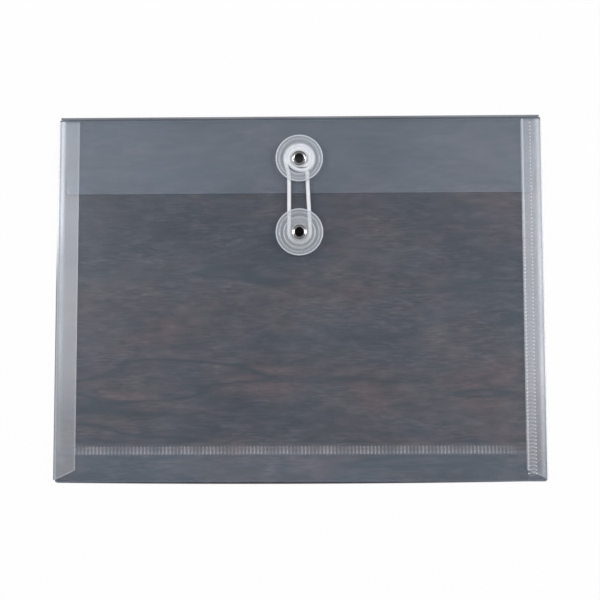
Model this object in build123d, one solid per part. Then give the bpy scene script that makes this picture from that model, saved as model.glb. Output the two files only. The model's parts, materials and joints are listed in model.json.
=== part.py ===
"""String tie envelope: an expanding film pocket with a flap, two riveted buttons and a tie string.

The envelope lies on its back. X runs along its width, Y along its height with the flap fold at +Y,
and Z up through its thickness. The origin is under its middle, on the surface that it lies on.
"""

import os
from math import asin, atan2, cos, degrees, hypot, pi, radians, sin

from build123d import *

# Driving sizes, in millimetres

# Film body
envelope_width = 330.0
envelope_height = 248.0
film = 0.3
panel_corner = 2.0
pocket_depth = 5.9
mouth_drop = 2.4

# Rolled folds between the film panels
fold_radius = 0.75
fold_gap = 0.15
crease_radius = 0.5

# Side gussets, each folded inwards in a V and mitred at its lower end
gusset_half = 13.0
gusset_top_drop = 2.2
mitre_rise = 6.2
mitre_clearance = 0.9
crease_side_gap = 0.4

# Flap
flap_length = 52.4
flap_inset_top = 2.0
flap_inset_tip = 6.8
flap_corner = 4.0
flap_lift = 1.1

# Welded laps and their ladders of weld rungs
side_lap_width = 13.7
side_ladder_edge = 0.4
side_ladder_end = 4.0
bottom_lap_rise = 25.7
bottom_lap_width = 7.9
bottom_ladder_edge = 2.1
bottom_ladder_end = 1.5
bottom_panel_reach = 2.6
rung_length = 5.1
rung_width = 1.1
rung_height = 0.2
rung_pitch = 2.45

# Buttons
button_drop = 30.0
button_spacing = 50.4
disc_radius = 16.0
disc_thickness = 1.2
disc_rim_width = 0.9
disc_rim_height = 0.35
disc_ring_radius = 13.4
disc_ring_width = 0.8
disc_ring_height = 0.25
disc_edge_fillet = 0.1
base_radius = 11.0
base_thickness = 0.8
hub_radius = 5.75
hub_height = 3.2
rear_washer_radius = 6.0
rear_washer_thickness = 0.5
eyelet_bore_radius = 2.7
eyelet_barrel_radius = 3.2
eyelet_flange_radius = 4.4
eyelet_flange_thickness = 0.6
eyelet_roll_radius = 4.4
eyelet_roll_thickness = 0.4
eyelet_fillet = 0.15
barrel_clearance = 0.1
disc_bore_clearance = 0.05
disc_spin_gap = 0.1

# Tie string: its tube, its seat on the hubs, and where its two strands bend
cord_diameter = 2.4
cord_seat_gap = 0.2
cord_turn_gap = 0.45
cord_end_room = 0.6
strand_bend_drop = 16.0
strand_bend_radius = 30.0
strand_level_drop = 40.0
strand_level_radius = 60.0
free_end_x = 5.0
free_end_drop = 11.3
free_end_level_drop = 18.0

# Places worked out from the driving sizes

half_width = envelope_width / 2
half_height = envelope_height / 2

front_bottom = film + pocket_depth
front_top = front_bottom + film
flap_bottom = front_top + flap_lift
flap_top = flap_bottom + film
front_edge_y = half_height - mouth_drop
flap_edge_y = half_height - flap_length

low_fold_z = film + fold_gap + fold_radius
high_fold_z = front_bottom - fold_gap - fold_radius
flap_fold_z = (flap_bottom + flap_top) / 2
side_fold_x = half_width - fold_radius
bottom_fold_y = fold_radius - half_height
top_fold_y = half_height - fold_radius

gusset_angle = degrees(asin((high_fold_z - low_fold_z) / (2 * gusset_half)))
mitre_slope = mitre_rise / gusset_half
# At the inner crease the front sheet stops clear of the rear sheet's bead and of its slope
crease_clear = max(crease_radius, film / (2 * sin(radians(gusset_angle)))) + fold_gap
crease_x = side_fold_x - gusset_half * cos(radians(gusset_angle))
between_creases_x = crease_x - crease_radius - crease_side_gap
bottom_lap_high_y = bottom_lap_rise - half_height
bottom_lap_low_y = bottom_lap_high_y - bottom_lap_width

flap_button = Vector(0, half_height - button_drop, 0)
body_button = flap_button - Vector(0, button_spacing, 0)
barrel_hole_radius = eyelet_barrel_radius + barrel_clearance
cord_radius = cord_diameter / 2
cord_level = base_thickness + hub_height / 2


def block(x_span, y_span, z_span):
    """A block given by its lowest and highest coordinate on each axis."""
    spans = (x_span, y_span, z_span)
    middle = [(low + high) / 2 for low, high in spans]
    return Pos(*middle) * Box(*[high - low for low, high in spans])


def sheet(outline, z_low):
    """A flat piece of film, from its outline and the height of its underside."""
    return Pos(0, 0, z_low) * extrude(outline, film)


def bead(radius, low, high):
    """A rolled fold: a round bead along Y through the local origin."""
    return Pos(0, (low + high) / 2, 0) * Rot(90, 0, 0) * Cylinder(radius, high - low)


def washer(centre, outer, inner, z_low, thickness):
    """A flat ring, from its two radii and the height of its underside."""
    return Pos(centre.X, centre.Y, z_low) * extrude(Circle(outer) - Circle(inner), thickness)


def turned(outline, centre):
    """A solid of revolution about a vertical line, from an outline drawn as radius and height."""
    return Pos(centre.X, centre.Y, 0) * revolve(Plane.XZ * outline, Axis.Z)


# Film panels


def back_panel():
    """The plain rear sheet that the envelope lies on."""
    outline = Rectangle(envelope_width, envelope_height)
    return sheet(fillet(outline.vertices(), panel_corner), 0)


def front_panel():
    """The front sheet: its top edge is the pocket's mouth, and the lower button goes through it."""
    outline = Rectangle(envelope_width, front_edge_y + half_height)
    outline = Pos(0, (front_edge_y - half_height) / 2) * outline
    outline = fillet(outline.vertices().group_by(Axis.Y)[0], panel_corner)
    outline -= Pos(body_button.X, body_button.Y) * Circle(barrel_hole_radius)
    return sheet(outline, front_bottom)


def spine(fold_y, end_x, foot_z, high_z):
    """A strip that stands from foot_z up to high_z, with a rolled fold low down and along its top."""
    strip = block((-end_x, end_x), (fold_y - film / 2, fold_y + film / 2), (foot_z, high_z))
    fold = Pos(0, fold_y, 0) * Rot(0, 0, 90) * bead(fold_radius, -end_x, end_x)
    return strip + Pos(0, 0, low_fold_z) * fold + Pos(0, 0, high_z) * fold


def top_flap():
    """The closing flap, drawn in towards its free edge, with a hole for the upper button."""
    fold_y = top_fold_y - fold_radius - fold_gap
    fold_x = half_width - flap_inset_top
    tip_x = half_width - flap_inset_tip
    corners = [(-fold_x, fold_y), (-tip_x, flap_edge_y), (tip_x, flap_edge_y), (fold_x, fold_y)]
    outline = make_face(Polyline(*corners, close=True))
    outline = fillet(outline.vertices().group_by(Axis.Y)[0], flap_corner)
    outline -= Pos(flap_button.X, flap_button.Y) * Circle(barrel_hole_radius)
    return sheet(outline, flap_bottom)


def bottom_panel():
    """The base sheet from the bottom fold to under the bottom seam, mitred to match the side gussets."""
    low_y = bottom_fold_y + fold_radius + fold_gap
    high_y = bottom_lap_low_y + bottom_panel_reach
    fold_x = side_fold_x - mitre_clearance
    low_x = fold_x - (low_y - bottom_fold_y) / mitre_slope
    mitre_y = bottom_fold_y + (fold_x - between_creases_x) * mitre_slope
    right = [(low_x, low_y), (between_creases_x, mitre_y), (between_creases_x, high_y)]
    left = [(-x, y) for x, y in reversed(right)]
    return sheet(make_face(Polyline(*right, *left, close=True)), high_fold_z - film / 2)


# Gussets


def gusset_half_sheet(fold_span, crease_span, reach):
    """Half a gusset, lying flat: film from its outer fold on the Y axis out to x = reach."""
    share = reach / gusset_half
    low, high = [fold + share * (crease - fold) for fold, crease in zip(fold_span, crease_span)]
    corners = [(0, fold_span[0]), (reach, low), (reach, high), (0, fold_span[1])]
    outline = make_face(Polyline(*corners, close=True))
    return sheet(outline, -film / 2) + bead(fold_radius, *fold_span)


def left_gusset():
    """The rear and front halves of the left gusset: the front half stops level with the front sheet."""
    low = bottom_fold_y + mitre_clearance
    high = half_height - gusset_top_drop
    fold_span = (low, high)
    crease_span = (low + mitre_rise, high)
    rear = gusset_half_sheet(fold_span, crease_span, gusset_half)
    rear += Pos(gusset_half, 0, 0) * bead(crease_radius, *crease_span)
    front = gusset_half_sheet(fold_span, crease_span, gusset_half - crease_clear)
    front = split(front, bisect_by=Plane((0, front_edge_y, 0), z_dir=(0, -1, 0)))
    return (
        Pos(-side_fold_x, 0, low_fold_z) * Rot(0, -gusset_angle, 0) * rear,
        Pos(-side_fold_x, 0, high_fold_z) * Rot(0, gusset_angle, 0) * front,
    )


# Welded laps


def rung_spans(low, high):
    """The start and end of each weld rung between two ends of a seam."""
    count = int((high - low - rung_width) / rung_pitch) + 1
    return [(low + i * rung_pitch, low + i * rung_pitch + rung_width) for i in range(count)]


def side_seam_lap():
    """The strip over the right edge of the front sheet, welded down along its inner edge."""
    inner_x = half_width - side_lap_width
    top = front_top + film
    strip = block((inner_x, half_width), (-half_height, front_edge_y), (front_top, top))
    rung_low_x = inner_x + side_ladder_edge
    rung_x = (rung_low_x, rung_low_x + rung_length)
    rung_z = (top - film / 2, top + rung_height)
    seam = rung_spans(side_ladder_end - half_height, front_edge_y - side_ladder_end)
    return strip + [block(rung_x, rung_y, rung_z) for rung_y in seam]


def bottom_seam_lap():
    """The strip that joins the bottom panel to the front sheet, welded with its rungs facing inwards."""
    end_x = between_creases_x
    underside = front_bottom - film
    lap_y = (bottom_lap_low_y, bottom_lap_high_y)
    strip = block((-end_x, end_x), lap_y, (underside, front_bottom))
    rung_high_y = bottom_lap_high_y - bottom_ladder_edge
    rung_y = (rung_high_y - rung_length, rung_high_y)
    rung_z = (underside - rung_height, underside + film / 2)
    seam = rung_spans(bottom_ladder_end - end_x, end_x - bottom_ladder_end)
    return strip + [block(rung_x, rung_y, rung_z) for rung_x in seam]


# Buttons


def button_disc(centre, z_low):
    """The clear top disc, with a raised rim and a raised ring inside it, loose on the eyelet."""
    bore = eyelet_barrel_radius + disc_bore_clearance
    top = z_low + disc_thickness
    rim_top = top + disc_rim_height
    rim_in = disc_radius - disc_rim_width
    ring_top = top + disc_ring_height
    ring_out = disc_ring_radius + disc_ring_width / 2
    ring_in = disc_ring_radius - disc_ring_width / 2
    corners = [(bore, z_low), (disc_radius, z_low), (disc_radius, rim_top), (rim_in, rim_top)]
    corners += [(rim_in, top), (ring_out, top), (ring_out, ring_top), (ring_in, ring_top)]
    corners += [(ring_in, top), (bore, top)]
    outline = make_face(Polyline(*corners, close=True))
    rounded = outline.vertices().filter_by_position(Axis.X, ring_in, disc_radius)
    limit = 0.4 * min(disc_ring_height, disc_rim_height, disc_ring_width, disc_rim_width)
    return turned(fillet(rounded, min(disc_edge_fillet, limit)), centre)


def eyelet(centre, film_bottom, film_top):
    """The metal tube that rivets a button: a flange over the disc and a roll under the rear washer."""
    roll_top = film_bottom - rear_washer_thickness
    low = roll_top - eyelet_roll_thickness
    flange_low = film_top + base_thickness + hub_height + disc_thickness + 2 * disc_spin_gap
    high = flange_low + eyelet_flange_thickness
    corners = [(eyelet_bore_radius, low), (eyelet_roll_radius, low), (eyelet_roll_radius, roll_top)]
    corners += [(eyelet_barrel_radius, roll_top), (eyelet_barrel_radius, flange_low)]
    corners += [(eyelet_flange_radius, flange_low), (eyelet_flange_radius, high)]
    corners += [(eyelet_bore_radius, high)]
    outline = make_face(Polyline(*corners, close=True))
    rounded = outline.vertices().filter_by_position(Axis.Y, low, low)
    rounded += outline.vertices().filter_by_position(Axis.Y, high, high)
    wall = eyelet_barrel_radius - eyelet_bore_radius
    limit = 0.4 * min(eyelet_roll_thickness, eyelet_flange_thickness, wall)
    return turned(fillet(rounded, min(eyelet_fillet, limit)), centre)


def button(centre, film_bottom):
    """The five pieces of one button, riveted through the film."""
    film_top = film_bottom + film
    hub_low = film_top + base_thickness
    disc_low = hub_low + hub_height + disc_spin_gap
    washer_low = film_bottom - rear_washer_thickness
    hole = barrel_hole_radius
    return {
        "disc": button_disc(centre, disc_low),
        "hub": washer(centre, hub_radius, hole, hub_low, hub_height),
        "base_washer": washer(centre, base_radius, hole, film_top, base_thickness),
        "rear_washer": washer(centre, rear_washer_radius, hole, washer_low, rear_washer_thickness),
        "eyelet": eyelet(centre, film_bottom, film_top),
    }


# Tie string


def half_turn(start, end, side):
    """Half a turn between two points on a level line, over the top for side 1 or under for -1."""
    reach = abs(end.X - start.X) / 2
    return ThreePointArc(start, (start + end) / 2 + Vector(0, side * reach, 0), end)


def tangent_point(start, centre, radius, side):
    """Where the straight line from start touches a circle, left of its centre for side 1."""
    gap = centre - start
    distance = hypot(gap.X, gap.Y)
    angle = atan2(gap.Y, gap.X) + side * asin(radius / distance)
    length = (distance**2 - radius**2) ** 0.5
    return Vector(start.X + length * cos(angle), start.Y + length * sin(angle), centre.Z)


def arc_about(centre, start, end):
    """A short arc about a centre, from one point of its circle to another."""
    way = (start + end) / 2 - centre
    return ThreePointArc(start, centre + way.normalized() * (start - centre).length, end)


def string_path():
    """The string's middle line, from its inner end on the flap button's hub to its free end.

    It winds outwards round the flap button's hub in half turns, runs down to the other button,
    goes round that hub, and comes back up to end beside the winding.
    """
    upper = flap_button + Vector(0, 0, flap_top + cord_level)
    lower = body_button + Vector(0, 0, front_top + cord_level)
    seat = hub_radius + cord_seat_gap + cord_radius
    outer_left = seat + cord_diameter + cord_turn_gap
    outer_right = outer_left + cord_end_room

    start = upper + Vector(seat, 0, 0)
    inner_left = upper - Vector(seat, 0, 0)
    right = upper + Vector(outer_right, 0, 0)
    left = upper - Vector(outer_left, 0, 0)
    winding_middle = (left + right) / 2
    winding_radius = (outer_left + outer_right) / 2

    bend = upper + Vector(-seat, -strand_bend_drop, 0)
    leave = tangent_point(bend, winding_middle, winding_radius, 1)
    level = Vector(-seat, upper.Y - strand_level_drop, lower.Z)
    lower_left = lower - Vector(seat, 0, 0)
    lower_right = lower + Vector(seat, 0, 0)

    free_end = Vector(free_end_x, upper.Y - free_end_drop, upper.Z)
    rise = tangent_point(free_end, lower, seat, 1)
    strand = free_end - rise
    rise_from = rise + strand * ((level.Y - rise.Y) / strand.Y)
    rise_to = rise + strand * ((upper.Y - free_end_level_drop - rise.Y) / strand.Y)
    rise_from = Vector(rise_from.X, rise_from.Y, lower.Z)
    rise_to = Vector(rise_to.X, rise_to.Y, upper.Z)

    pieces = [
        Line(start - Vector(0, cord_diameter, 0), start),
        half_turn(start, inner_left, 1),
        half_turn(inner_left, right, -1),
        half_turn(right, left, 1),
        arc_about(winding_middle, left, leave),
        FilletPolyline(leave, bend, level, lower_left, radius=[strand_bend_radius, strand_level_radius]),
        half_turn(lower_left, lower_right, -1),
        arc_about(lower, lower_right, rise),
        FilletPolyline(rise, rise_from, rise_to, free_end, radius=strand_level_radius),
    ]
    print("string bend radii:", sorted({round(e.radius, 2) for e in edges_of(pieces) if is_arc(e)}))
    return Wire(edges_of(pieces))


def edges_of(pieces):
    """The edges of a list of lines, arcs and runs, in order."""
    return [edge for piece in pieces for edge in piece.edges()]


def is_arc(edge):
    """Whether an edge is part of a circle."""
    return edge.geom_type == GeomType.CIRCLE


def least_gap(path):
    """The least clear distance between two stretches of the string that lie apart along it."""
    step = cord_radius / 2
    count = int(path.length / step)
    points = [path.position_at(i / count) for i in range(count + 1)]
    apart = int(pi * cord_diameter / step)
    pairs = ((i, j) for i in range(count + 1) for j in range(i + apart, count + 1))
    return min((points[i] - points[j]).length for i, j in pairs) - cord_diameter


def tie_string():
    """The string as one unbroken tube along its path."""
    path = string_path()
    tube = sweep(Plane(path @ 0, z_dir=path % 0) * Circle(cord_radius), path=path)
    section = pi * cord_radius**2
    print(f"string length {path.length:.1f}, tube volume {tube.volume:.1f}", end=", ")
    print(f"section times length {section * path.length:.1f}, least gap {least_gap(path):.2f}")
    return tube


def nodes():
    """Every piece of the envelope, by name."""
    pieces = {
        "back_panel": back_panel(),
        "front_panel": front_panel(),
        "top_spine": spine(top_fold_y, half_width - flap_inset_top, low_fold_z, flap_fold_z),
        "top_flap": top_flap(),
        "bottom_spine": spine(bottom_fold_y, side_fold_x - mitre_clearance, film, high_fold_z),
        "bottom_panel": bottom_panel(),
    }
    rear, front = left_gusset()
    pieces["left_gusset_rear"] = rear
    pieces["left_gusset_front"] = front
    pieces["right_gusset_rear"] = mirror(rear, about=Plane.YZ)
    pieces["right_gusset_front"] = mirror(front, about=Plane.YZ)
    pieces["side_seam_lap"] = side_seam_lap()
    pieces["bottom_seam_lap"] = bottom_seam_lap()
    rivets = {"flap": (flap_button, flap_bottom), "body": (body_button, front_bottom)}
    for place, (centre, film_bottom) in rivets.items():
        for name, piece in button(centre, film_bottom).items():
            pieces[f"{place}_{name}"] = piece
    pieces["tie_string"] = tie_string()
    return pieces


os.makedirs("parts", exist_ok=True)
for name, piece in nodes().items():
    piece.label = name
    export_step(piece, f"parts/{name}.step")
print(f"gusset angle {gusset_angle:.3f} degrees, crease height {(low_fold_z + high_fold_z) / 2:.3f}")
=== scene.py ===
import json
from math import pi, radians

import bmesh
import bpy
import numpy as np
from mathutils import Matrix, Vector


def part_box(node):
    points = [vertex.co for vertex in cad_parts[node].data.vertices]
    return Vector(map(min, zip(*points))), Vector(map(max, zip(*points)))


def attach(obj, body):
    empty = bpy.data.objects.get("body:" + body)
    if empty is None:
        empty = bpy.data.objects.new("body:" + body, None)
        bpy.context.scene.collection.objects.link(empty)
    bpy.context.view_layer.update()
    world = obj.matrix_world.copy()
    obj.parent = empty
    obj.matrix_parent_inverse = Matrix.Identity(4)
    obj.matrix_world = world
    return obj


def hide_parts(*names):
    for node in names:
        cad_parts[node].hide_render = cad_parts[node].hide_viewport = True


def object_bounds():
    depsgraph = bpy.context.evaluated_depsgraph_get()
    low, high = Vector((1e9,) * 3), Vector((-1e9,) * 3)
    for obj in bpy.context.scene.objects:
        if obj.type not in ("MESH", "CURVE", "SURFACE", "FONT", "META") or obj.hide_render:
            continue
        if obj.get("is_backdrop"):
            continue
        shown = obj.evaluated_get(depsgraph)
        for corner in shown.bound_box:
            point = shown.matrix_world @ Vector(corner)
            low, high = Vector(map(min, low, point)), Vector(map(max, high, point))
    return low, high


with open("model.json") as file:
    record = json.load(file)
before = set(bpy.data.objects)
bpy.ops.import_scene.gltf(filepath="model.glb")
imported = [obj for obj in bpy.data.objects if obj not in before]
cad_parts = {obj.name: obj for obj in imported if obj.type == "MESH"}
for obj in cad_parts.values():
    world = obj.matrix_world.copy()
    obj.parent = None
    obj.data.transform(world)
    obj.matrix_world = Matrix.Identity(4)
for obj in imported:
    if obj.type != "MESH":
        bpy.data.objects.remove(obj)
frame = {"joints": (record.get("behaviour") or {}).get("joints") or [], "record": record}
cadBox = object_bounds()
mm = 0.001
hinge = {joint["name"]: np.array(joint["pos_m"]) for joint in frame["joints"]}
bodyOf = {node: body for body, nodes in frame["record"]["behaviour"]["bodies"].items() for node in nodes}


# Shader trees

class Wire:
    # one output of a node: sums and products of wires and numbers become Math nodes
    def __init__(self, tree, socket=None):
        self.tree = tree
        self.socket = socket

    def node(self, kind, settings=None, sockets=None, out=0):
        # a new node with its settings, and with a wire or a plain value on each socket
        made = self.tree.nodes.new(kind)
        for key, value in (settings or {}).items():
            setattr(made, key, value)
        for key, value in (sockets or {}).items():
            if isinstance(value, Wire):
                self.tree.links.new(value.socket, made.inputs[key])
            else:
                made.inputs[key].default_value = value
        return Wire(self.tree, made.outputs[out] if made.outputs else None)

    def ramp(self, *stops):
        # the colour between two, each of which has its place on this wire's scale
        made = self.tree.nodes.new("ShaderNodeValToRGB")
        for element, (place, colour) in zip(made.color_ramp.elements, stops):
            element.position = place
            element.color = (*colour, 1.0)
        self.tree.links.new(self.socket, made.inputs[0])
        return Wire(self.tree, made.outputs[0])

    def mix(self, under, over, share, blend="MIX"):
        # one colour over another: a Mix node has them on inputs 6 and 7, and the result on output 2
        settings = {"data_type": "RGBA", "blend_type": blend}
        return self.node("ShaderNodeMix", settings, {0: share, 6: under, 7: over}, 2)

    def spread(self, low, high, atLow, atHigh, kind="SMOOTHSTEP"):
        # the range of this value from low to high becomes the one from atLow to atHigh
        return self.node("ShaderNodeMapRange", {"interpolation_type": kind}, {
            "Value": self, "From Min": low, "From Max": high, "To Min": atLow, "To Max": atHigh})

    def surface(self, kind="ShaderNodeOutputMaterial"):
        # this shader ends the tree
        self.node(kind, None, {"Surface": self})

    def maths(self, operation, *values):
        return self.node("ShaderNodeMath", {"operation": operation}, dict(enumerate(values)))

    def __add__(self, other):
        return self.maths("ADD", self, other)

    def __rsub__(self, other):
        return self.maths("SUBTRACT", other, self)

    def __mul__(self, other):
        return self.maths("MULTIPLY", self, other)

    def __pow__(self, other):
        return self.maths("POWER", self, other)

    __radd__ = __add__
    __rmul__ = __mul__


def newFinish(name):
    # an empty material, and a wire from which its tree grows
    finish = bpy.data.materials.new(name)
    finish.use_nodes = True
    finish.node_tree.nodes.clear()
    return finish, Wire(finish.node_tree)


def coordinate(start, axis, space="Object"):
    # one coordinate of the shaded place: along the piece's own axes in metres, or of the sky's direction
    place = start.node("ShaderNodeTexCoord", out=space)
    return start.node("ShaderNodeSeparateXYZ", None, {"Vector": place}, axis)


def noiseOver(start, stretch, detail=3.0, rough=0.55, shift=(0, 0, 0)):
    # noise on the piece's own coordinates in metres, with stretch features to the metre on each axis,
    # moved on by shift features
    place = start.node("ShaderNodeTexCoord", out="Object")
    place = start.node("ShaderNodeMapping", None, {"Vector": place, "Scale": stretch, "Location": shift})
    return start.node("ShaderNodeTexNoise", None, {
        "Vector": place, "Scale": 1.0, "Detail": detail, "Roughness": rough})


def bumpOf(start, height, strength, deep):
    # a normal that leans with the slope of a height
    return start.node("ShaderNodeBump", None, {"Strength": strength, "Distance": deep, "Height": height})


def whiteness(start):
    # the value that the meshes carry at their points: part real paleness of folds and welds, part painted
    # highlight and painted light, as each piece sets it
    return start.node("ShaderNodeAttribute", {"attribute_name": "white"}, out="Fac")


# Shapes
sharpAngle = radians(40)
arcSteps = 6
edgeShare = 0.0022  # the last row of a holed sheet, about 0.35 mm inside its cut edge


def addPiece(name, data):
    # a new object in the scene
    piece = bpy.data.objects.new(name, data)
    bpy.context.scene.collection.objects.link(piece)
    return piece


def shellMesh(name, rings, closeAlong, white):
    # rings[i, j] is point j of a closed section at step i along the piece: quads join neighbours,
    # and open ends are closed by quads between the section's upper row and its lower row
    steps, around = rings.shape[:2]
    index = np.arange(steps * around).reshape(steps, around)
    index = np.hstack([index, index[:, :1]])
    if closeAlong:
        index = np.vstack([index, index[:1]])
    quads = np.stack([index[:-1, :-1], index[1:, :-1], index[1:, 1:], index[:-1, 1:]], -1).reshape(-1, 4)
    if not closeAlong:
        k = np.arange(around // 2 - 1)
        cap = np.stack([k, k + 1, around - 2 - k, around - 1 - k], -1)
        quads = np.vstack([quads, cap, (steps - 1) * around + cap[:, ::-1]])
    mesh = bpy.data.meshes.new(name)
    mesh.from_pydata(rings.reshape(-1, 3).tolist(), [], quads.tolist())
    layer = mesh.attributes.new("white", "FLOAT", "POINT")
    layer.data.foreach_set("value", np.ascontiguousarray(white, np.float32).ravel())
    work = bmesh.new()
    work.from_mesh(mesh)
    bmesh.ops.recalc_face_normals(work, faces=work.faces)
    work.to_mesh(mesh)
    work.free()
    mesh.shade_smooth()
    mesh.set_sharp_from_angle(angle=sharpAngle)
    return addPiece(name, mesh)


def settle(piece, node, finish):
    # the piece gets its finish and stands for a CAD node: that node is hidden and the piece joins its body
    piece.data.materials.append(finish)
    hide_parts(node)
    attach(piece, bodyOf[node])


def roundedLoop(corners, radius, runStep=None):
    # a closed outline: at each corner a quadratic arc leaves one side and meets the next one radius
    # away from the corner, and the straight sides get points about runStep apart
    corner = np.array(corners, float)
    toBefore = np.roll(corner, 1, 0) - corner
    toAfter = np.roll(corner, -1, 0) - corner
    reach = np.broadcast_to(radius, len(corner))[:, None]
    start = corner + toBefore / np.linalg.norm(toBefore, axis=1)[:, None] * reach
    end = corner + toAfter / np.linalg.norm(toAfter, axis=1)[:, None] * reach
    t = np.linspace(0, 1, arcSteps)[None, :, None]
    arcs = (1 - t) ** 2 * start[:, None] + 2 * t * (1 - t) * corner[:, None] + t ** 2 * end[:, None]
    if runStep is None:
        return arcs.reshape(-1, 2)
    pieces = []
    for arc, here, there in zip(arcs, end, np.roll(start, -1, 0)):
        count = int(np.linalg.norm(there - here) / runStep) + 1
        share = (np.arange(1, count) / count)[:, None]
        pieces += [arc, here + share * (there - here)]
    return np.concatenate(pieces)


def stripMesh(name, across, along, ends, place, upper, lower, white):
    # d runs across the strip and s along it from one end to the other: place turns the distance
    # across, the distance along and the height off the middle surface into a point
    d = across[None, :]
    s = along[:, None]
    low, high = ends(d)
    run = low + s * (high - low) + 0 * d
    rows = [place(d, run, height(d, run) * np.ones_like(run)) for height in (upper, lower)]
    mark = white(d, run, s) * np.ones_like(run)
    rings = np.concatenate([rows[0], rows[1][:, ::-1]], 1)
    return shellMesh(name, rings, False, np.concatenate([mark, mark[:, ::-1]], 1))


def turnedPiece(name, centre, profile, white, sides=96):
    # each profile point (radius, height) goes round the upright line through the centre
    angle = np.linspace(0, 2 * pi, sides, endpoint=False)[:, None]
    radius, height = profile[None, :, 0], profile[None, :, 1]
    x = centre[0] + radius * np.cos(angle)
    y = centre[1] + radius * np.sin(angle)
    rings = np.stack([x, y, height * np.ones_like(x)], -1)
    return shellMesh(name, rings, True, np.broadcast_to(white(radius), x.shape))


def boxOf(node):
    # the two far corners of a CAD node's box
    low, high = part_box(node)
    return np.array(low), np.array(high)


def buttonMiddle(place):
    # the middle of the hub of the button on the flap or on the body
    low, high = boxOf(f"{place}_hub")
    return (low + high) / 2


def rise(t, start, end):
    # a smooth step from 0 at start to 1 at end, which may lie on either side of it
    share = np.clip((t - start) / (end - start), 0, 1)
    return share * share * (3 - 2 * share)


def wander(t, long, swing, slow):
    # a sine whose phase swings with a slower sine
    return np.sin(t / long + swing * np.sin(t / slow))


# Camera: nearly straight above, with the lower edge a little nearer
view = {"place": (0.0230, -0.1227, 1.05), "turn": (0.115, 0.0221, -0.0021), "lens": 93.45}
camera = addPiece("camera", bpy.data.cameras.new("camera"))
camera.location = view["place"]
camera.rotation_euler = view["turn"]
camera.data.lens = view["lens"]
bpy.context.scene.camera = camera


# Tie string
cord = {
    "thick": 2.68 * mm, "root": 4.6 * mm, "seat": 7.1 * mm, "outer": 9.45 * mm, "turnPoints": 16, "smooth": 6,
    "startAngle": -75, "rootTo": -30, "growFrom": 235, "growTo": 340, "leaveAngle": 212,
    "tones": ((0.3, (0.77, 0.79, 0.84)), (0.7, (0.89, 0.90, 0.94))),
    "cloud": (140, 140, 140), "grain": (2600, 2600, 2600), "grainStrength": 0.25, "grainDeep": 0.05 * mm,
    "fade": 6 * mm, "bendDown": 1 * mm, "bendTone": 0.62, "windingDown": 8 * mm, "strandTone": 0.955,
}


def around(radius, degrees):
    # points on a level circle round the origin
    a = np.radians(degrees)
    return np.stack([radius * np.cos(a), radius * np.sin(a), 0 * a], -1)


def cordRoute():
    # angle a goes round each hub, and the winding's radius grows from its root in the hub to the hub
    # seat and then to the outer turn; a spline of order 3 runs inside its points, so the turns' radii
    # are divided by that share; the strands' points are in mm from the upper hub's middle
    upper, lower = buttonMiddle("flap"), buttonMiddle("body")
    step = 360 / cord["turnPoints"]
    inside = 0.75 + 0.25 * np.cos(radians(step))
    a = np.arange(cord["startAngle"], 360 + cord["leaveAngle"], step)
    grown = rise(a, cord["growFrom"], cord["growTo"])
    rooted = rise(a, cord["startAngle"], cord["rootTo"])
    radius = cord["root"] + rooted * (cord["seat"] - cord["root"]) + grown * (cord["outer"] - cord["seat"])
    winding = upper + around(radius / inside, a)
    lowerTurn = lower + around(cord["seat"] / inside, np.arange(180, 361, step))
    down = (lower[2] - upper[2]) / mm
    leftStrand = upper + mm * np.array([
        (-7.35, -9.4, 0), (-7.0, -13.5, 0), (-6.95, -18, 0),
        (-6.95, -29, 0), (-7.0, -38, down), (-7.05, -45, down),
    ])
    rightStrand = upper + mm * np.array([
        (7.05, -46, down), (6.8, -40, down), (6.2, -29, -0.4),
        (5.75, -20, 0), (5.5, -14, 0), (5.35, -8.7, 0),
    ])
    return np.concatenate([winding, leftStrand, lowerTurn, rightStrand])


def makeCord():
    # a round tube along a spline through the route's points
    route = cordRoute()
    line = bpy.data.curves.new("tie_cord", "CURVE")
    line.dimensions = "3D"
    line.bevel_depth = cord["thick"] / 2
    line.bevel_resolution = cord["smooth"]
    line.resolution_u = cord["smooth"]
    line.use_fill_caps = True
    spline = line.splines.new("NURBS")
    spline.points.add(len(route) - 1)
    spline.points.foreach_set("co", np.column_stack([route, np.ones(len(route))]).ravel())
    spline.order_u = 3
    spline.use_endpoint_u = True
    return addPiece("tie_cord", line), route


def cordFinish():
    # satin white elastic: a little lighter and darker along its length, whitest on the winding by
    # painted light against the upper disc's shade, and greyer by painted shade where it bends hard
    # round the lower button under its disc, with a fine grain in the bump
    finish, start = newFinish("satin_cord")
    height = coordinate(start, 1)
    # painted shade: the cord is greyer where it bends round under the lower button's disc
    bend = buttonMiddle("body")[1] - cord["bendDown"]
    bendShade = height.spread(bend - cord["fade"], bend, cord["bendTone"], 1.0)
    # painted light: the winding under the upper disc is whiter than the strands, against the disc's shade
    wound = buttonMiddle("flap")[1] - cord["windingDown"]
    windingLight = height.spread(wound - cord["fade"], wound, cord["strandTone"], 1.0)
    tone = noiseOver(start, cord["cloud"]).ramp(*cord["tones"])
    tone = start.mix(tone, bendShade * windingLight, 1.0, "MULTIPLY")
    bump = bumpOf(start, noiseOver(start, cord["grain"], 2.0), cord["grainStrength"], cord["grainDeep"])
    body = start.node("ShaderNodeBsdfPrincipled", None, {
        "Base Color": tone, "Roughness": 0.38, "Normal": bump, "Specular IOR Level": 0.45})
    body.surface()
    return finish


tieCord, cordPoints = makeCord()
settle(tieCord, "tie_string", cordFinish())
print("cord laid through", len(cordPoints), "points")


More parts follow.
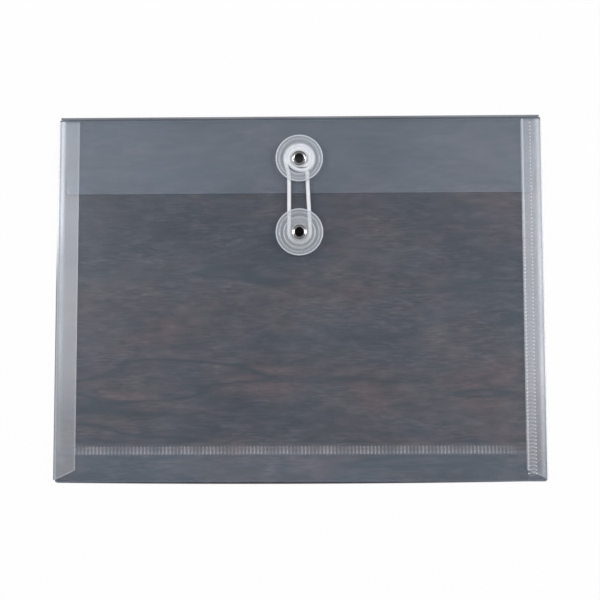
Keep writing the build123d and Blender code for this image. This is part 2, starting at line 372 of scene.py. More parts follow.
# Finishes of the film
film = {
    "clear": {"colour": (0.64, 0.78, 0.96), "haze": 0.055, "mirror": 0.22, "rough": 0.30,
              "white": 0.10, "ripple": 0.15, "rim": 0.7},
    "flap": {"colour": (0.66, 0.79, 0.96), "haze": 0.061, "mirror": 0.22, "rough": 0.30,
             "white": 0.10, "ripple": 0.15, "rim": 0.7},
    "gusset": {"colour": (0.92, 0.92, 0.95), "haze": 0.056, "mirror": 0.25, "rough": 0.34,
               "white": 0.13, "ripple": 0.03, "rim": 0.15, "smoke": 0.90, "smokeTone": (0.22, 0.222, 0.23)},
    "base": {"colour": (0.62, 0.77, 0.96), "haze": 0.034, "mirror": 0.20, "rough": 0.30,
             "white": 0.13, "ripple": 0.08, "rim": 0.3},
    "foot": {"colour": (0.93, 0.88, 0.93), "haze": 0.016, "mirror": 0.25, "rough": 0.30,
             "white": 0.42, "ripple": 0.03, "rim": 0.3},
    "weld": {"colour": (0.83, 0.86, 0.94), "haze": 0.016, "mirror": 0.25, "rough": 0.30,
             "white": 0.42, "ripple": 0.03, "rim": 0.3},
}
filmGrain = {"cloud": (14, 30, 14), "ripple": (40, 60, 40), "rippleDeep": 0.4 * mm, "rimPower": 5}
smoke = {
    "noise": {
        "drift": ((9, 18, 9), 3.0, 0.55, (5.3, 10.7, 0.0)),
        "hue": ((17, 26, 17), 2.0, 0.5, (12.4, 18.1, 0.0)),
        "blotch": ((60, 170, 60), 3.0, 0.6),
        "streak": ((130, 900, 130), 2.0, 0.6),
        "patch": ((22, 60, 22), 1.0),
        "level": ((3, 24, 3), 2.0),
    },
    "lineLevels": 2.6, "plainer": (60 * mm, 85 * mm, 1.0, 0.6), "patchy": (0.42, 0.62, 0.25, 1.0),
    "tones": ((0.40, (0.0112, 0.0082, 0.0142)), (0.62, (0.0565, 0.0318, 0.0292))),
    "plainTone": (0.0150, 0.0160, 0.0200, 1), "paleTone": (0.42, 0.455, 0.50, 1),
    "layers": (
        ("MULTIPLY", "hue", "plainer", (0.38, (0.86, 1.02, 1.04)), (0.62, (1.18, 0.94, 0.98))),
        ("MULTIPLY", "blotch", "plainer", (0.30, (0.30, 0.32, 0.35)), (0.50, (1.0, 1.0, 1.0))),
        ("ADD", "blotch", "plainer", (0.50, (0.0, 0.0, 0.0)), (0.72, (0.0300, 0.0265, 0.0280))),
        ("MULTIPLY", "streak", "patchy", (0.30, (0.45, 0.47, 0.50)), (0.50, (1.0, 1.0, 1.0))),
        ("ADD", "streak", "patchy", (0.50, (0.0, 0.0, 0.0)), (0.72, (0.0370, 0.0335, 0.0350))),
        ("MULTIPLY", "line", "plainer", (0.0, (0.15, 0.22, 0.28)), (0.05, (1.0, 1.0, 1.0))),
    ),
}


def filmFinish(name, look):
    # clear film: a share of each face is milky and part mirror, and the rest lets light through; the
    # share rises at glancing angles, and with the whiteness on folds and cut edges, which holds painted
    # highlights and painted light as well as real paleness, and drifts in faint clouds; where the
    # whiteness is below zero, the share falls, but a film with a smoke tone takes that instead
    finish, start = newFinish(name)
    cloud = noiseOver(start, filmGrain["cloud"])
    ripple = noiseOver(start, filmGrain["ripple"], 1.0)
    white = whiteness(start)
    facing = start.node("ShaderNodeLayerWeight", None, {"Blend": 0.5}, out="Facing")
    glancing = facing ** filmGrain["rimPower"]
    share = look["haze"] * (0.7 + 0.6 * cloud) + look["white"] * white + look["rim"] * glancing
    clear = start.node("ShaderNodeBsdfTransparent")
    milk = start.node("ShaderNodeBsdfPrincipled", None, {
        "Base Color": (*look["colour"], 1), "Metallic": look["mirror"], "Roughness": look["rough"],
        "Normal": bumpOf(start, ripple, look["ripple"], filmGrain["rippleDeep"])})
    if "smoke" in look:
        smoky = start.maths("MAXIMUM", 0.0 - white, 0.0)
        share = share + look["smoke"] * smoky
        dull = start.node("ShaderNodeBsdfPrincipled", None, {
            "Base Color": (*look["smokeTone"], 1), "Roughness": 0.9, "Specular IOR Level": 0.0})
        milk = start.node("ShaderNodeMixShader", None, {0: smoky, 1: milk, 2: dull})
    sheet = start.node("ShaderNodeMixShader", None, {0: share, 1: clear, 2: milk})
    sheet.surface()
    return finish


def backFinish():
    # dark smoke film: broad drifts between a cool and a warm tone and between green and purple,
    # blotches and patches of short drawn streaks in them, and a few long thin lines where a broad
    # noise crosses one level; all of it is fainter towards the top fold, and the whiteness lightens it:
    # on the spine that is partly a paler fold and partly painted light, and on the lowest row painted light
    finish, start = newFinish("smoke_film")
    wires = {name: noiseOver(start, *values) for name, values in smoke["noise"].items()}
    wires["line"] = start.maths("PINGPONG", wires["level"] * smoke["lineLevels"], 0.5)
    wires["plainer"] = coordinate(start, 1).spread(*smoke["plainer"])
    wires["patchy"] = wires["plainer"] * wires["patch"].spread(*smoke["patchy"], "LINEAR")
    tone = wires["drift"].ramp(*smoke["tones"])
    tone = start.mix(smoke["plainTone"], tone, wires["plainer"])
    for blend, noise, share, *stops in smoke["layers"]:
        tone = start.mix(tone, wires[noise].ramp(*stops), wires[share], blend)
    tone = start.mix(tone, smoke["paleTone"], whiteness(start))
    body = start.node("ShaderNodeBsdfPrincipled", None, {
        "Base Color": tone, "Roughness": 0.45 + 0.12 * wires["drift"], "Specular IOR Level": 0.22})
    body.surface()
    return finish


filmLook = {name: filmFinish(f"{name}_film", look) for name, look in film.items()}
filmLook["smoke"] = backFinish()
print("film finishes made:", ", ".join(filmLook))


# Back sheet
back = {
    "corner": 2.0 * mm, "arcSteps": 8, "belly": 1.3 * mm, "bellyAt": -15 * mm,
    "columns": 67, "rows": 50, "firstRow": 0.02, "pale": 0.20, "paleShare": 0.006,
}


def makeBack():
    # flat, with a lower edge that bellies out as one minus a square of the way from its lowest place,
    # and with its lower corners cut by quarter circles
    low, high = boxOf("back_panel")
    middle, half = (low[2] + high[2]) / 2, (high[2] - low[2]) / 2
    corner = back["corner"]
    arc = corner * (1 - np.cos(np.linspace(0, pi / 2, back["arcSteps"])))
    inner = np.linspace(low[0] + corner, high[0] - corner, back["columns"])
    across = np.concatenate([low[0] + arc[:-1], inner, high[0] - arc[-2::-1]])
    along = np.concatenate([[0, back["paleShare"]], np.linspace(back["firstRow"], 1, back["rows"])])

    def ends(d):
        inCorner = np.clip(corner - np.minimum(d - low[0], high[0] - d), 0, corner)
        cut = corner - np.sqrt(corner ** 2 - inCorner ** 2)
        belly = back["belly"] * np.clip(1 - ((d - back["bellyAt"]) / high[0]) ** 2, 0, 1)
        return low[1] + cut - belly, high[1] + 0 * d

    place = lambda d, run, off: np.stack([d + 0 * run, run, middle + off], -1)
    # painted light: the lowest row is lighter, which lifts the dark line along the bottom edge
    white = lambda d, run, s: back["pale"] * (s < back["paleShare"] / 2)
    upper = lambda d, run: half
    lower = lambda d, run: -half
    sheet = stripMesh("back_sheet", across, along, ends, place, upper, lower, white)
    settle(sheet, "back_panel", filmLook["smoke"])


makeBack()
print("back sheet made")


# Front sheet and flap
front = {
    "corner": 2.0 * mm, "mouthCorner": 0.6 * mm, "step": 4.0 * mm, "rows": 44,
    "rollWidth": 3.4 * mm, "rollDrop": 0.55 * mm, "pale": 0.4, "paleWide": 1 * mm,
    "wave": 0.10 * mm, "waves": (17 * mm, 31 * mm, 23 * mm, 14 * mm, 55 * mm),
    "calmFrom": 14 * mm, "calmTo": 54 * mm, "calmSide": 25 * mm, "calmFoot": 40 * mm,
}
flap = {
    "reach": 0.6 * mm, "tipInset": 5.2 * mm, "corner": 1.5 * mm, "foldCorner": 0.3 * mm,
    "step": 4.0 * mm, "rows": 26, "droop": 0.55 * mm, "droopFrom": 40 * mm,
    "wave": 0.06 * mm, "waveLong": 19 * mm, "calmFrom": 16 * mm, "calmTo": 46 * mm,
    "freePale": 6.0, "foldPale": 1.8, "sidePale": 0.25, "foldWide": 1 * mm,
}
frontLow, frontHigh = boxOf("front_panel")
flapLow, flapHigh = boxOf("top_flap")
filmThickness = frontHigh[2] - frontLow[2]
holeShare = 0.75  # of the eyelet's reach


def holedSheet(name, node, place, outline, rows, heightAt, edgeWhite, look):
    # a straight line joins each outline point to the edge of a round hole for a button's eyelet: s
    # runs along it from the hole to the outline, heightAt gives the height of the sheet's middle
    # there, and edgeWhite how white its cut edge is
    centre = buttonMiddle(place)[:2]
    radius = boxOf(f"{place}_eyelet")[1][0] * holeShare
    ray = outline - centre
    rim = centre + ray / np.linalg.norm(ray, axis=1)[:, None] * radius
    s = np.append(np.linspace(0, 1 - edgeShare, rows), 1.0)
    flat = rim[:, None] + s[None, :, None] * (outline - rim)[:, None]
    x, y = flat[..., 0], flat[..., 1]
    middle = heightAt(x, y)
    upper = np.stack([x, y, middle + filmThickness / 2], -1)
    lower = np.stack([x, y, middle - filmThickness / 2], -1)
    white = (s > 1 - edgeShare / 2) * edgeWhite(x, y)
    rings = np.concatenate([upper, lower[:, ::-1]], 1)
    sheet = shellMesh(name, rings, True, np.concatenate([white, white[:, ::-1]], 1))
    settle(sheet, node, filmLook[look])


def edgeRoll(x, y):
    # the sheet curls down towards its two sides and its bottom fold, as the square of the way in
    side = np.clip((np.abs(x) - frontHigh[0]) / front["rollWidth"] + 1, 0, 1)
    foot = np.clip((frontLow[1] - y) / front["rollWidth"] + 1, 0, 1)
    return front["rollDrop"] * np.maximum(side, foot) ** 2


def frontHeight(x, y):
    # level, with long shallow waves that die out at the button and at the edges
    centre = buttonMiddle("body")
    calm = rise(np.hypot(x - centre[0], y - centre[1]), front["calmFrom"], front["calmTo"])
    calm = calm * rise(frontHigh[0] - np.abs(x), 0, front["calmSide"])
    calm = calm * rise(y - frontLow[1], 0, front["calmFoot"])
    broad, swing, cross, fine, lean = front["waves"]
    wave = np.sin(x / broad + 0.6 * np.sin(y / swing)) * np.cos(y / cross + 1.1)
    wave = wave + 0.8 * np.sin(y / fine + x / lean)
    return (frontLow[2] + frontHigh[2]) / 2 + front["wave"] * wave * calm - edgeRoll(x, y)


def frontEdge(x, y):
    # painted highlight: lighter on the two sides below the mouth, where the sheet rolls down
    onSide = np.abs(x) > frontHigh[0] - front["paleWide"]
    return front["pale"] * (onSide & (y < frontHigh[1] - front["paleWide"]))


def makeFront():
    # a rectangle, rounder at its lower corners than at the mouth
    low, high = frontLow[:2], frontHigh[:2]
    corners = [low, (high[0], low[1]), high, (low[0], high[1])]
    radii = [front["corner"], front["corner"], front["mouthCorner"], front["mouthCorner"]]
    outline = roundedLoop(corners, radii, front["step"])
    holedSheet("front_sheet", "front_panel", "body", outline, front["rows"], frontHeight, frontEdge, "clear")


def flapHeight(x, y):
    # level at the fold and the button, dipping at the two free corners, with shallow waves
    out = np.clip((flapHigh[1] - y) / (flapHigh[1] - flapLow[1]), 0, 1)
    side = rise(np.abs(x), flap["droopFrom"], flapHigh[0])
    calm = rise(np.abs(x), flap["calmFrom"], flap["calmTo"])
    wave = np.sin(x / flap["waveLong"]) * np.sin(pi * out) * calm
    return (flapLow[2] + flapHigh[2]) / 2 - flap["droop"] * side * out ** 2 + flap["wave"] * wave


def flapEdge(x, y):
    # a painted highlight, brightest on the free edge, less painted light along the fold edge, where it lifts
    # the shaded crevice under the fold bead, and faint at the two ends
    rest = np.where(y > flapHigh[1] - flap["foldWide"], flap["foldPale"], flap["sidePale"])
    return np.where(y < flapLow[1] + flap["corner"], flap["freePale"], rest)


def makeFlap():
    # a strip whose ends are drawn in towards the free edge
    low, high = flapLow[:2], flapHigh[:2]
    tip = high[0] - flap["tipInset"]
    foot = low[1] - flap["reach"]
    corners = [(-tip, foot), (tip, foot), (high[0], high[1]), (low[0], high[1])]
    radii = [flap["corner"], flap["corner"], flap["foldCorner"], flap["foldCorner"]]
    outline = roundedLoop(corners, radii, flap["step"])
    holedSheet("flap_sheet", "top_flap", "flap", outline, flap["rows"], flapHeight, flapEdge, "flap")


makeFront()
makeFlap()
print("front sheet and flap made")


# Folded strips: spines, gussets and the base sheet
fold = {
    "bead": 0.75 * mm, "beadPoints": np.linspace(-1.3, 1.47, 9), "beadTip": 0.02 * mm, "crease": 0.5 * mm,
    "gap": 0.15 * mm, "creaseGap": 1.1 * mm, "steps": 90, "innerPoints": 14, "endRows": (0.002, 0.006),
    "wave": 0.05 * mm, "waveLong": 21 * mm, "waveSwing": 0.7, "waveSlow": 47 * mm,
}
gusset = {
    "half": 13.0 * mm, "mitreRise": 6.2 * mm, "baseReach": 1.8 * mm, "mouthReach": 0.6 * mm,
    "glow": 1.4 * mm, "glowAt": 1.8 * mm, "creaseGlow": 0.5 * mm, "cutShare": 0.0025,
    "rimFrom": 0.15 * mm, "rimTo": -0.20 * mm,
}
mitreSlope = gusset["mitreRise"] / gusset["half"]


def strand(first, second, alongAxis):
    # a strip from one fold line to another: d runs from the first towards the second, the height is
    # square to that, and the folds run along the given axis
    keep = [axis for axis in range(3) if axis != alongAxis]
    toSecond = (second - first)[keep]
    width = np.linalg.norm(toSecond)
    way = toSecond / width
    square = np.array([-way[1], way[0]])

    def place(d, run, height):
        point = np.empty((*np.broadcast(d, run).shape, 3))
        point[..., alongAxis] = run
        point[..., keep[0]] = first[keep[0]] + d * way[0] + height * square[0]
        point[..., keep[1]] = first[keep[1]] + d * way[1] + height * square[1]
        return point

    return place, width


def beadRow(radius, centre, outward):
    # distances across a bead, close together at its rim; outward is -1 or 1 for its open side
    return np.sort(centre + radius * np.sin(fold["beadPoints"] * outward))


def swell(d, beads):
    # half the thickness across the strip: the film's, or a bead's circle where the bead lies
    half = np.full_like(d, filmThickness / 2)
    for radius, centre in beads:
        inside = np.clip(radius ** 2 - (d - centre) ** 2, 0, None)
        half = np.where(np.abs(d - centre) < radius, np.maximum(np.sqrt(inside), fold["beadTip"]), half)
    return half


def noWhite(d, run, s, width):
    # clear at every place
    return 0 * run


def nowhere(run):
    # zero all along a fold
    return 0 * run


def foldedStrip(name, node, first, second, alongAxis, beads, ends, look,
                bright=noWhite, stop=0.0, belly=nowhere):
    # film between two fold lines, with a round bead on the lines that beads names by radius; bright
    # gives the whiteness from the distance across, the one along, the share along and the width, and
    # belly how far the first bead is pushed out at each place along it
    place, width = strand(first, second, alongAxis)
    rolled = [(radius, centre) for radius, centre in zip(beads, (0.0, width)) if radius]
    begin = beadRow(beads[0], 0.0, -1) if beads[0] else np.array([fold["bead"] + fold["gap"]])
    finish = beadRow(beads[1], width, 1) if beads[1] else np.array([width - stop])
    across = np.concatenate([begin, np.linspace(begin[-1], finish[0], fold["innerPoints"])[1:-1], finish])
    near, inner = fold["endRows"]
    along = np.concatenate([[0, near], np.linspace(inner, 1 - inner, fold["steps"]), [1 - near, 1]])
    wave = fold["wave"] if alongAxis == 1 else 0

    def bow(d, run):
        swing = wander(run, fold["waveLong"], fold["waveSwing"], fold["waveSlow"])
        return wave * np.clip(d / width, 0, 1) * np.clip(1 - d / width, 0, 1) * 4 * swing

    def bellied(d, run, height):
        pushed = belly(run) * rise(d, fold["bead"], -fold["bead"])
        return place(d - pushed, run, height)

    white = lambda d, run, s: bright(d, run, s, width)
    upper = lambda d, run: bow(d, run) + swell(d, rolled)
    lower = lambda d, run: bow(d, run) - swell(d, rolled)
    piece = stripMesh(name, across, along, ends, bellied, upper, lower, white)
    settle(piece, node, filmLook[look])


def paleSpineWithPaintedLight(d, run, s, width):
    # the smoke film is paler all along the narrow spine, a little unevenly, and painted light makes it
    # lightest just under the flap fold, where the fold's bead shades it
    uneven = 0.55 + 0.06 * wander(run, 15 * mm, 1.4, 37 * mm)
    return uneven + 0.35 * np.exp(-((d - width + 2.5 * mm) / (1.6 * mm)) ** 2)


def fullWidth(node):
    # the two ends of a strip that runs along x, the same all the way across it
    low, high = boxOf(node)
    return lambda d: (low[0] + 0 * d, high[0] + 0 * d)


def makeSpines():
    # the top spine carries the back sheet on to the flap fold, and the bottom one stands on the back sheet
    foot = np.array([0, hinge["bottom_base_fold"][1], hinge["spine_fold"][2]])
    spines = {
        "top_spine": (hinge["spine_fold"], hinge["flap_fold"], "smoke", paleSpineWithPaintedLight),
        "bottom_spine": (foot, hinge["bottom_base_fold"], "base", noWhite),
    }
    beads = (fold["bead"], fold["bead"])
    for node, (low, high, look, white) in spines.items():
        foldedStrip(f"{node}_film", node, low, high, 0, beads, fullWidth(node), look, white)


def mitred(node):
    # the lower end of a gusset rises across it, from the box's foot at the fold by the mitre's slope
    low, high = boxOf(node)
    return lambda d: (low[1] + mitreSlope * np.clip(d, 0, None), high[1] + gusset["mouthReach"] + 0 * d)


def leftFoldHighlight(run):
    # painted highlight along the left fold: brightest near the mouth, dimmer below the flap
    grown = 0.15 + 0.50 * rise(run, -110 * mm, -20 * mm) + 1.6 * rise(run, 5 * mm, 85 * mm)
    return grown + 0.10 * wander(run, 8 * mm, 1.3, 19 * mm)


def rightFoldHighlight(run):
    # painted highlight along the right fold: it shines in a few long patches and dims near its foot
    return 0.95 + 0.35 * wander(run, 17 * mm, 1.1, 29 * mm) - 0.65 * rise(run, -45 * mm, -85 * mm)


def leftBelly(run):
    # the left folds belly out below the flap
    return 0.10 * mm + 0.22 * mm * rise(run, 60 * mm, 0)


def leftSmoke(run):
    # the outer rim of the left folds is grey below the flap
    return rise(run, 75 * mm, 5 * mm)


sides = {
    "left": {"turn": 1, "milky": 0.32, "crease": 1.4, "edge": 0.45,
             "glow": leftFoldHighlight, "smoke": leftSmoke, "belly": leftBelly},
    "right": {"turn": -1, "milky": 0.40, "crease": 0.9, "edge": 0.3,
              "glow": rightFoldHighlight, "smoke": nowhere, "belly": nowhere},
}


def gussetWhite(side, crease):
    # whiteness of a gusset half: milkier by painted light where light falls along it, with painted
    # shade at the foot and under the flap, a painted highlight in a soft band along its outer fold, a
    # thin line on the crease that is part stress whitening and part painted highlight, a bright cut
    # edge, and below zero on the outer rim where that is smoky
    def white(d, run, s, width):
        lit = rise(run, -95 * mm, -40 * mm) * (1 - 0.4 * rise(run, 60 * mm, 80 * mm))
        band = side["glow"](run) * np.exp(-((d - gusset["glowAt"]) / gusset["glow"]) ** 2)
        line = crease * np.exp(-((d - width) / gusset["creaseGlow"]) ** 2)
        cut = side["edge"] * (s < gusset["cutShare"])
        rim = side["smoke"](run) * rise(d, gusset["rimFrom"], gusset["rimTo"])
        return np.maximum(side["milky"] * lit + band + line, cut) * (1 - rim) - rim

    return white


def makeGussets():
    # two halves on each side meet at the crease, and the right ones mirror the left ones
    for name, side in sides.items():
        mirror = np.array([side["turn"], 1, 1])
        crease = hinge["left_crease"] * mirror
        rear, face = hinge["left_rear_fold"] * mirror, hinge["front_fold"] * mirror
        halves = (
            (f"{name}_gusset_rear", rear, fold["crease"], side["crease"], 0.0),
            (f"{name}_gusset_front", face, 0, 0, fold["creaseGap"]),
        )
        for node, first, bead, line, stop in halves:
            foldedStrip(f"{node}_film", node, first, crease, 1, (fold["bead"], bead), mitred(node), "gusset",
                        gussetWhite(side, line), stop, side["belly"])


def makeBase():
    # flat from the bottom fold to the seam: its ends follow the mitre until they reach the creases
    high = boxOf("bottom_panel")[1]
    seam = boxOf("bottom_seam_lap")[1][0]
    first = hinge["bottom_base_fold"]
    second = np.array([0, high[1], first[2]])

    def ends(d):
        drawnIn = np.clip(d - fold["bead"] - fold["gap"], 0, None) / mitreSlope
        edge = np.maximum(seam, high[0] + gusset["baseReach"] - drawnIn)
        return -edge, edge

    foldedStrip("bottom_base_film", "bottom_panel", first, second, 0, (0, 0), ends, "base")


makeSpines()
makeGussets()
makeBase()
print("spines, gussets and base made")


# Welded laps
ladder = {
    "pitch": 2.45 * mm, "rungLong": 5.1 * mm, "rungWide": 0.40, "rungHigh": 0.14 * mm,
    "dotRadius": 0.60 * mm, "dotHigh": 0.28 * mm, "perPitch": 11, "lift": 0.03 * mm,
    "seamPoints": 22, "restPoints": 7, "firstStep": 0.15 * mm, "lastStep": 0.2 * mm,
}
sideLap = {
    "first": 0.6 * mm, "bow": 0.55 * mm, "footEnd": 3.4 * mm, "mouthEnd": 1.2 * mm, "edgeWide": 0.95 * mm,
    "dotPale": 1.3, "rungPale": 0.42, "bandPale": 0.10, "mouthPale": 0.05,
}
bottomLap = {"first": 2.1 * mm, "bow": 0.12 * mm, "dotPale": 0.25, "rungPale": 0.46, "bandPale": 0.11}


def ladderHeight(d, run, lap):
    # rungs repeat along the run at the pitch, bowed across it, and each ends in two round dots
    t = (d - lap["first"]) / ladder["rungLong"]
    phase = (run - lap["bow"] * (1 - (2 * t - 1) ** 2)) / ladder["pitch"] % 1 - 0.5
    rung = np.clip(1 - (phase / (ladder["rungWide"] / 2)) ** 2, 0, 1) * ((t > 0) & (t < 1))
    beside = run / ladder["pitch"] % 1 - 0.5
    near = np.minimum(np.abs(d - lap["first"]), np.abs(d - lap["first"] - ladder["rungLong"]))
    dot = np.clip(1 - (np.hypot(near, beside * ladder["pitch"]) / ladder["dotRadius"]) ** 2, 0, 1)
    return np.maximum(ladder["rungHigh"] * rung, ladder["dotHigh"] * dot), dot, rung


def onLadder(d, lap):
    # 1 between the two ends of the rungs
    return (d > lap["first"]) & (d < lap["first"] + ladder["rungLong"])


def lapAcross(width, lap):
    # distances across the lap: close together at its two edges and over the ladder
    low, high = lap["first"] - ladder["dotRadius"], lap["first"] + ladder["rungLong"] + ladder["dotRadius"]
    seam = np.linspace(low, high, ladder["seamPoints"])
    rest = np.linspace(high, width - ladder["lastStep"], ladder["restPoints"])[1:]
    every = np.concatenate([[0, ladder["firstStep"]], seam, rest, [width]])
    return np.unique(np.clip(every, 0, width))


def lapAlong(length):
    # shares along the lap, as many to a pitch as the ladder needs
    return np.linspace(0, 1, int(length / ladder["pitch"] * ladder["perPitch"]))


def makeSideLap():
    # on the front sheet, with its ladder up: it curls down with that sheet at the side
    low, high = boxOf("side_seam_lap")
    middle = frontHigh[2] + ladder["lift"] + filmThickness / 2
    inRange = lambda run: (run > low[1] + sideLap["footEnd"]) & (run < high[1] - sideLap["mouthEnd"])
    ends = lambda d: (low[1], high[1])
    upper = lambda d, run: filmThickness / 2 + ladderHeight(d, run, sideLap)[0] * inRange(run)
    lower = lambda d, run: -filmThickness / 2

    def place(d, run, off):
        x = low[0] + d + 0 * run
        return np.stack([x, run + 0 * d, middle + off - edgeRoll(x, run)], -1)

    def white(d, run, s):
        # dots all along, rungs and their band more towards the foot, and a bright inner edge
        dot, rung = ladderHeight(d, run, sideLap)[1:]
        shown = 0.10 + 0.90 * rise(run, 60 * mm, -90 * mm)
        edge = 0.45 + 0.40 * rise(run, 10 * mm, 80 * mm) + 0.25 * rise(run, -60 * mm, -100 * mm)
        edge = (d < sideLap["edgeWide"]) * edge * rise(run - low[1], 6 * mm, 10 * mm)
        band = sideLap["bandPale"] * shown * onLadder(d, sideLap)
        band = band + sideLap["mouthPale"] * rise(run, 40 * mm, 80 * mm)
        weld = np.maximum(sideLap["dotPale"] * dot, band + sideLap["rungPale"] * rung * shown)
        return np.maximum(weld * inRange(run), edge)

    across = lapAcross(high[0] - low[0], sideLap)
    along = lapAlong(high[1] - low[1])
    piece = stripMesh("side_lap_film", across, along, ends, place, upper, lower, white)
    settle(piece, "side_seam_lap", filmLook["weld"])


def makeBottomLap():
    # under the front sheet, with its ladder down, and uneven along it
    low, high = boxOf("bottom_seam_lap")
    middle = frontLow[2] - ladder["lift"] - filmThickness / 2
    ends = lambda d: (low[0], high[0])
    place = lambda d, run, off: np.stack([run + 0 * d, high[1] - d + 0 * run, middle - off], -1)
    upper = lambda d, run: filmThickness / 2 + ladderHeight(d, run, bottomLap)[0] * uneven(run)
    lower = lambda d, run: -filmThickness / 2

    def uneven(run):
        return (0.76 + 0.24 * wander(run, 3.1 * mm, 2.1, 13 * mm)) * rise(run, 147 * mm, 138 * mm)

    def white(d, run, s):
        # rungs brighter towards the fold, on a faint band
        dot, rung = ladderHeight(d, run, bottomLap)[1:]
        toFold = rise(d, bottomLap["first"], bottomLap["first"] + ladder["rungLong"])
        lit = bottomLap["rungPale"] * rung * (0.40 + 0.60 * toFold)
        band = bottomLap["bandPale"] * onLadder(d, bottomLap)
        return np.maximum(bottomLap["dotPale"] * dot, band + lit) * uneven(run)

    across = lapAcross(high[1] - low[1], bottomLap)
    along = lapAlong(high[0] - low[0])
    piece = stripMesh("bottom_lap_film", across, along, ends, place, upper, lower, white)
    settle(piece, "bottom_seam_lap", filmLook["foot"])


makeSideLap()
makeBottomLap()
print("welded laps made")


# Buttons
button = {
    "round": 0.12 * mm, "touch": 0.02 * mm, "step": 0.35 * mm, "bore": 3.3 * mm,
    "rim": 15.0 * mm, "rimHigh": 0.35 * mm, "rimSlope": 0.2 * mm, "rimEdge": 0.25 * mm,
    "ring": (12.95 * mm, 13.2 * mm, 13.6 * mm, 13.85 * mm), "ringHigh": 0.25 * mm,
    "seat": (10.2 * mm, 10.4 * mm, 10.7 * mm, 10.9 * mm), "discRound": 0.09 * mm,
    "rimPale": 0.75, "outerPale": 0.06, "ringPale": 0.28, "seatPale": 0.35, "basePale": 0.3,
    "baseEdge": 0.6 * mm, "milk": {"flap": 1.7, "body": 0.9}, "frost": {"flap": -0.22, "body": 0.0},
    "eyeletBore": 3.05 * mm, "barrel": 3.2 * mm, "flange": 5.1 * mm, "flangeHigh": 0.6 * mm,
    "rollHigh": 0.4 * mm, "rollPoints": 24, "footRound": [0.12 * mm, 0.18 * mm, 0.18 * mm, 0.05 * mm],
    "clear": {"colour": (0.88, 0.93, 0.99), "haze": 0.168, "mirror": 0.20, "rough": 0.20,
              "white": 0.5, "ripple": 0.05, "rim": 0.7},
    "core": {"colour": (0.95, 0.95, 0.96), "haze": 0.110, "mirror": 0.15, "rough": 0.20,
             "white": 0.5, "ripple": 0.05, "rim": 0.7},
}
metal = {
    "patch": (900, 900, 900), "strength": 0.08, "deep": 0.05 * mm,
    "tones": ((0.3, (0.40, 0.395, 0.39)), (0.7, (0.53, 0.525, 0.52))),
}


def metalFinish():
    # nickel plate with small dull patches that are also a little raised
    finish, start = newFinish("nickel_plate")
    patch = noiseOver(start, metal["patch"], 4.0)
    body = start.node("ShaderNodeBsdfPrincipled", None, {
        "Base Color": patch.ramp(*metal["tones"]), "Metallic": 1.0, "Roughness": 0.05 + 0.10 * patch,
        "Normal": bumpOf(start, patch, metal["strength"], metal["deep"])})
    body.surface()
    return finish


def ringLoop(node):
    # a plain washer: its section is a rectangle with rounded corners, a hair inside its box in height
    low, high = boxOf(node)
    bore, outer = button["bore"], (high[0] - low[0]) / 2
    floor, top = low[2] + button["touch"], high[2] - button["touch"]
    corners = [(bore, floor), (outer, floor), (outer, top), (bore, top)]
    return roundedLoop(corners, button["round"], button["step"])


def discLoop(node):
    # a plate with a raised rim at its edge and two raised rings inside that
    low, high = boxOf(node)
    bore, rim, outer = button["bore"], button["rim"], (high[0] - low[0]) / 2
    floor, rimTop = low[2], high[2]
    top = rimTop - button["rimHigh"]
    ringTop = top + button["ringHigh"]
    corners = [(bore, floor), (outer, floor), (outer, rimTop), (rim, rimTop), (rim - button["rimSlope"], top)]
    for foot, inner, crest, heel in (button["ring"], button["seat"]):
        corners += [(heel, top), (crest, ringTop), (inner, ringTop), (foot, top)]
    corners.append((bore, top))
    return roundedLoop(corners, button["discRound"], button["step"])


def eyeletLoop(node):
    # a tube with a rolled foot below, and on top a roll whose section is half an ellipse
    low, high = boxOf(node)
    outer = (high[0] - low[0]) / 2
    bore, barrel, lip = button["eyeletBore"], button["barrel"], button["flange"]
    under, over = high[2] - button["flangeHigh"], low[2] + button["rollHigh"]
    foot = roundedLoop([(bore, low[2]), (outer, low[2]), (outer, over), (barrel, over)], button["footRound"])
    turn = np.linspace(0, pi, button["rollPoints"])
    radius = (lip + bore) / 2 + (lip - bore) / 2 * np.cos(turn)
    roll = np.stack([radius, under + button["flangeHigh"] * np.sin(turn)], -1)
    return np.concatenate([foot, [(barrel, under)], roll])


def discWhite(frost):
    # the rim and the two rings are palest, and frost changes the plate inside the inner ring
    foot, _, _, heel = button["ring"]
    seatFoot, _, _, seatHeel = button["seat"]

    def white(radius):
        rim = button["rimPale"] * (radius > button["rim"] + button["rimEdge"])
        ring = button["ringPale"] * ((radius > foot) & (radius < heel))
        seat = button["seatPale"] * ((radius > seatFoot) & (radius < seatHeel))
        return rim + ring + button["outerPale"] * (radius > heel) + seat + frost * (radius < seatFoot)

    return white


def makeButtons():
    # each button is a stack of turned pieces on the upright line through its hub
    clear = filmFinish("clear_plastic", button["clear"])
    core = filmFinish("clear_core", button["core"])
    nickel = metalFinish()
    plain = lambda radius: 0 * radius
    for place in ("flap", "body"):
        centre = buttonMiddle(place)
        baseEdge = boxOf(f"{place}_base_washer")[1][0] - button["baseEdge"]
        milky = lambda radius: button["milk"][place] + 0 * radius
        palerEdge = lambda radius: button["basePale"] * (radius > baseEdge)
        makes = {
            "disc": (discLoop, discWhite(button["frost"][place]), clear),
            "hub": (ringLoop, milky, core),
            "base_washer": (ringLoop, palerEdge, core),
            "rear_washer": (ringLoop, plain, nickel),
            "eyelet": (eyeletLoop, plain, nickel),
        }
        for part, (loop, white, finish) in makes.items():
            node = f"{place}_{part}"
            settle(turnedPiece(f"{node}_turned", centre, loop(node), white), node, finish)


makeButtons()
print("buttons made")


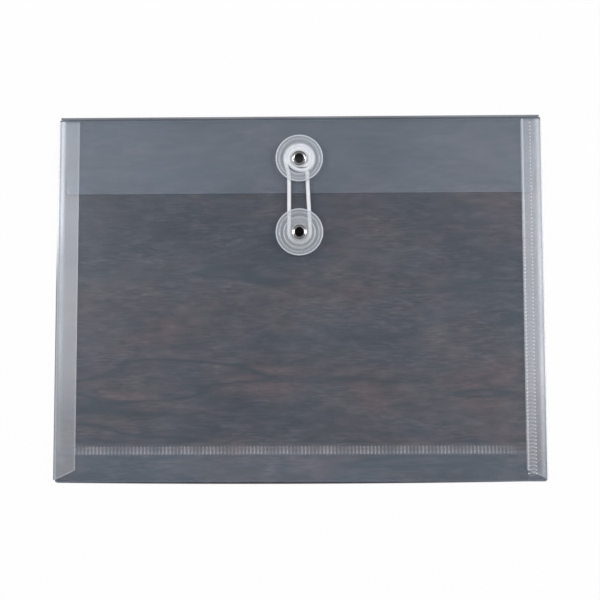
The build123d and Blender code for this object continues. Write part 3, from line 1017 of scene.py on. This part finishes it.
# Floor, light and world
studio = {
    "floor": 60.0, "floorDrop": 0.4 * mm, "seenWhite": 0.94, "grain": (8, 8, 8),
    "tones": ((0.2, (0.88, 0.88, 0.88)), (0.8, (0.92, 0.92, 0.92))),
    "world": 0.55, "horizon": 0.08, "zenith": 0.67, "sides": 1.2,
}
lamps = [
    {"name": "left_box", "place": (-0.75, 0.22, 1.2), "size": 0.55, "power": 7.0},
    {"name": "right_box", "place": (0.75, 0.22, 1.2), "size": 0.55, "power": 7.0},
]


def paperFinish():
    # white to the camera and in reflections, with a share of plain lit paper that keeps the shadow
    finish, start = newFinish("white_paper")
    rays = ("Is Camera Ray", "Is Glossy Ray", "Is Transmission Ray")
    camera, glossy, passing = [start.node("ShaderNodeLightPath", out=ray) for ray in rays]
    seen = start.maths("MINIMUM", camera + glossy + passing, 1.0) * studio["seenWhite"]
    glow = start.node("ShaderNodeEmission", None, {"Color": (1, 1, 1, 1), "Strength": 1.0})
    tone = noiseOver(start, studio["grain"]).ramp(*studio["tones"])
    paper = start.node("ShaderNodeBsdfPrincipled", None, {"Base Color": tone, "Roughness": 0.9})
    mixed = start.node("ShaderNodeMixShader", None, {0: seen, 1: paper, 2: glow})
    mixed.surface()
    return finish


def makeWorld():
    # soft grey: little at the horizon in front and behind, more towards the zenith, and most at the
    # two sides, each as the square of the direction's share
    world = bpy.data.worlds.new("studio")
    world.use_nodes = True
    world.node_tree.nodes.clear()
    start = Wire(world.node_tree)
    side = coordinate(start, 0, "Generated")
    up = coordinate(start, 2, "Generated")
    level = studio["horizon"] + studio["zenith"] * (up * up) + studio["sides"] * (side * side)
    sky = start.node("ShaderNodeBackground", None, {
        "Color": (1, 1, 1, 1), "Strength": studio["world"] * level})
    sky.surface("ShaderNodeOutputWorld")
    return world


def makeStudio():
    # a wide floor just below the envelope, and two lamps that face its middle
    half, drop = studio["floor"] / 2, studio["floorDrop"]
    mesh = bpy.data.meshes.new("floor")
    corners = [(-half, -half, -drop), (half, -half, -drop), (half, half, -drop), (-half, half, -drop)]
    mesh.from_pydata(corners, [], [(0, 1, 2, 3)])
    mesh.materials.append(paperFinish())
    floor = addPiece("floor", mesh)
    floor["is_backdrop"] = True
    for lamp in lamps:
        light = bpy.data.lights.new(lamp["name"], "AREA")
        light.size = lamp["size"]
        light.energy = lamp["power"]
        holder = addPiece(lamp["name"], light)
        holder.location = lamp["place"]
        holder.rotation_euler = (-holder.location).to_track_quat("-Z", "Y").to_euler()
    bpy.context.scene.world = makeWorld()


makeStudio()
bpy.context.scene.view_settings.view_transform = "Standard"
bpy.context.scene.cycles.transparent_max_bounces = 40  # many film faces lie over each other
print("studio made")

plain = lambda box: [[round(float(value), 6) for value in corner] for corner in box]
{"cad": plain(cadBox), "visual": plain(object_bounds())}
